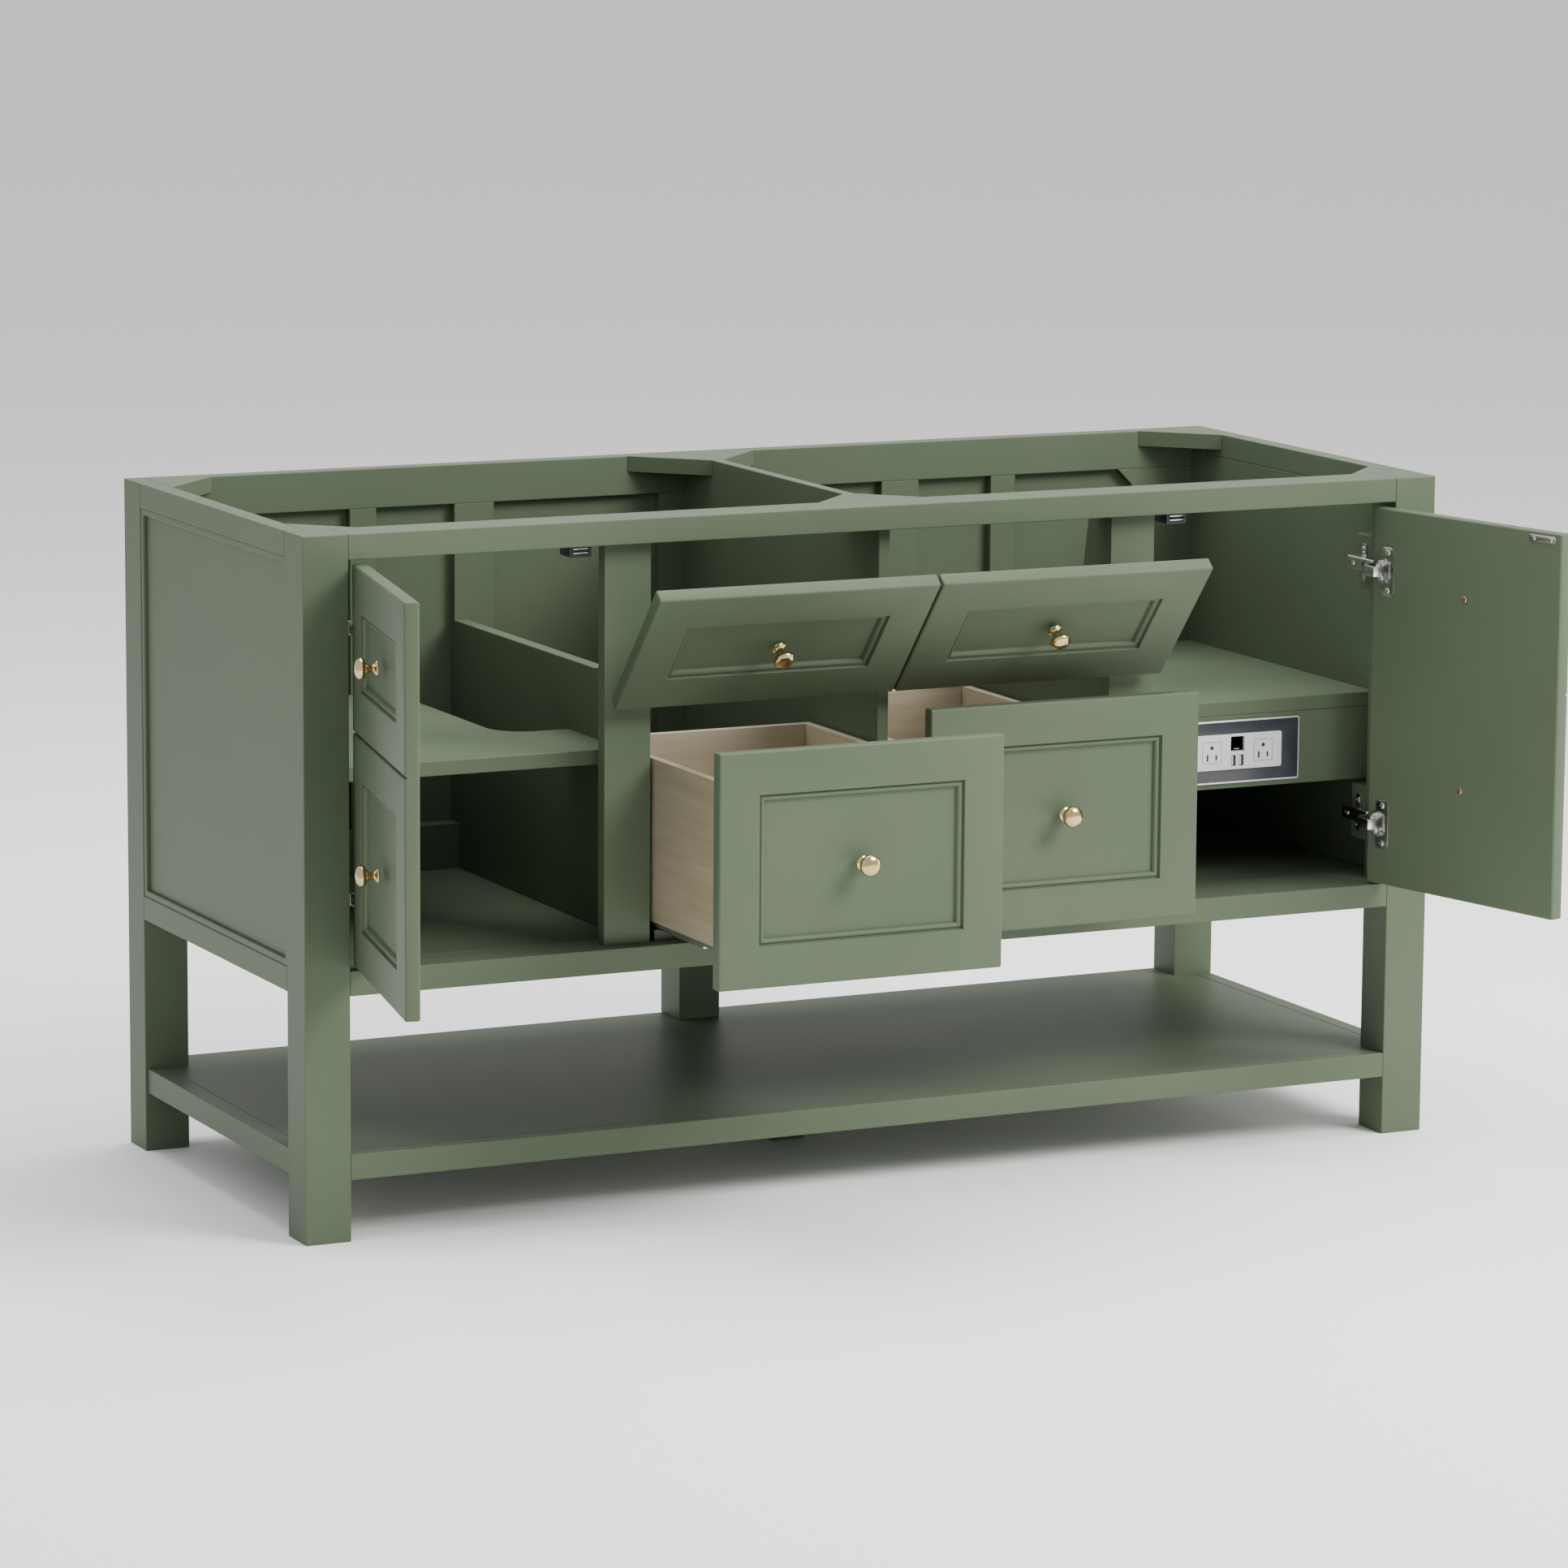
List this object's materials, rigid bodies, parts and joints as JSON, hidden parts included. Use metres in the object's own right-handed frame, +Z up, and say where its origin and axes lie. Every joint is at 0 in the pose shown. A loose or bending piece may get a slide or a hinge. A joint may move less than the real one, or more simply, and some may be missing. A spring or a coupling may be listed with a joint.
{
  "type": "bathroom vanity cabinet",
  "caption": "Free-standing double vanity base with open top, hinged doors, tilt-out fronts, drawers on slides, bay shelves with a power outlet and an open lower shelf on legs",
  "frame": {"origin": "centre of the footprint on the floor, on the underside of the centre foot", "axes": "+X to the right seen from the front, -Y out of the front, +Z up"},
  "size_m": [1.5269, 0.925, 0.838],
  "materials": {
    "paint": "satin sage-grey paint on wood and board",
    "knob_brass": "satin champagne brass",
    "nickel": "plated steel",
    "zinc_slide": "zinc plated",
    "black_runner": "black coated steel",
    "black_plastic": "moulded matte",
    "birch_ply": "clear lacquered birch plywood",
    "power_glass": "glossy dark plate with a bright rim",
    "power_white": "moulded light grey-white"
  },
  "bodies": {
    "cabinet": {"back_panel": "paint", "back_rails": "paint", "back_stiles": "paint", "bottom_front_rail": "paint", "bottom_rear_rail": "paint", "cabinet_floor": "paint", "catches": "black_plastic", "centre_foot": "paint", "centre_partition": "paint", "corner_blocks": "paint", "dividers": "paint", "drawer_runners": "black_runner", "front_legs": "paint", "hinge_arms": "nickel", "hinge_blocks": "paint", "left_shelf": "paint", "lower_shelf": "paint", "posts": "paint", "power_bezel": "power_glass", "power_fascia": "paint", "power_insert": "power_white", "power_sockets": "power_white", "rear_centre_leg": "paint", "rear_legs": "paint", "right_shelf": "paint", "shelf_pins": "nickel", "shelf_rails": "paint", "side_beads": "paint", "side_panels": "paint", "side_rails": "paint", "tilt_hinge_plates": "nickel", "top_front_rail": "paint"},
    "left_door": {"left_door": "paint", "left_door_knobs": "knob_brass", "left_hinge_cups": "nickel", "left_strike_plate": "nickel"},
    "right_door": {"right_door": "paint", "right_door_knobs": "knob_brass", "right_hinge_cups": "nickel", "right_strike_plate": "nickel"},
    "left_tiltout": {"left_tiltout_brackets": "nickel", "left_tiltout_front": "paint", "left_tiltout_knob": "knob_brass"},
    "right_tiltout": {"right_tiltout_brackets": "nickel", "right_tiltout_front": "paint", "right_tiltout_knob": "knob_brass"},
    "left_drawer": {"left_drawer_bottom": "birch_ply", "left_drawer_box": "birch_ply", "left_drawer_front": "paint", "left_drawer_knob": "knob_brass", "left_drawer_slides": "zinc_slide"},
    "right_drawer": {"right_drawer_bottom": "birch_ply", "right_drawer_box": "birch_ply", "right_drawer_front": "paint", "right_drawer_knob": "knob_brass", "right_drawer_slides": "zinc_slide"},
    "left_links": {"left_hinge_links": "nickel"},
    "right_links": {"right_hinge_links": "nickel"},
    "left_slide": {"left_slide_members": "zinc_slide"},
    "right_slide": {"right_slide_members": "zinc_slide"}
  },
  "joints": [
    {"name": "left_door_hinge", "type": "hinge", "parent": "cabinet", "child": "left_door", "pos_m": [-0.6916, -0.296, 0.5], "axis": [0, 0, 1], "range_deg": [-8, 101.8]},
    {"name": "right_door_hinge", "type": "hinge", "parent": "cabinet", "child": "right_door", "pos_m": [0.6916, -0.296, 0.5], "axis": [0, 0, 1], "range_deg": [-102.7, 8]},
    {"name": "left_link_turn", "type": "hinge", "parent": "cabinet", "child": "left_links", "pos_m": [-0.6855, -0.2765, 0.5], "axis": [0, 0, 1], "range_deg": [-6.5, 77.5]},
    {"name": "right_link_turn", "type": "hinge", "parent": "cabinet", "child": "right_links", "pos_m": [0.6855, -0.2765, 0.5], "axis": [0, 0, 1], "range_deg": [-77.5, 6.5]},
    {"name": "left_tilt", "type": "hinge", "parent": "cabinet", "child": "left_tiltout", "pos_m": [-0.185, -0.31, 0.6], "axis": [1, 0, 0], "range_deg": [-40.8, 0]},
    {"name": "right_tilt", "type": "hinge", "parent": "cabinet", "child": "right_tiltout", "pos_m": [0.185, -0.31, 0.6], "axis": [1, 0, 0], "range_deg": [-40.8, 0]},
    {"name": "left_drawer_slide", "type": "slide", "parent": "cabinet", "child": "left_drawer", "axis": [0, -1, 0], "range_m": [-0.298, 0.102]},
    {"name": "right_drawer_slide", "type": "slide", "parent": "cabinet", "child": "right_drawer", "axis": [0, -1, 0], "range_m": [-0.104, 0.296]},
    {"name": "left_member_slide", "type": "slide", "parent": "cabinet", "child": "left_slide", "axis": [0, -1, 0], "range_m": [-0.149, 0.051]},
    {"name": "right_member_slide", "type": "slide", "parent": "cabinet", "child": "right_slide", "axis": [0, -1, 0], "range_m": [-0.052, 0.148]}
  ],
  "couplings": [
    {"joint": "left_link_turn", "follows": "left_door_hinge", "ratio": 0.75},
    {"joint": "right_link_turn", "follows": "right_door_hinge", "ratio": 0.75},
    {"joint": "left_member_slide", "follows": "left_drawer_slide", "ratio": 0.5},
    {"joint": "right_member_slide", "follows": "right_drawer_slide", "ratio": 0.5}
  ]
}
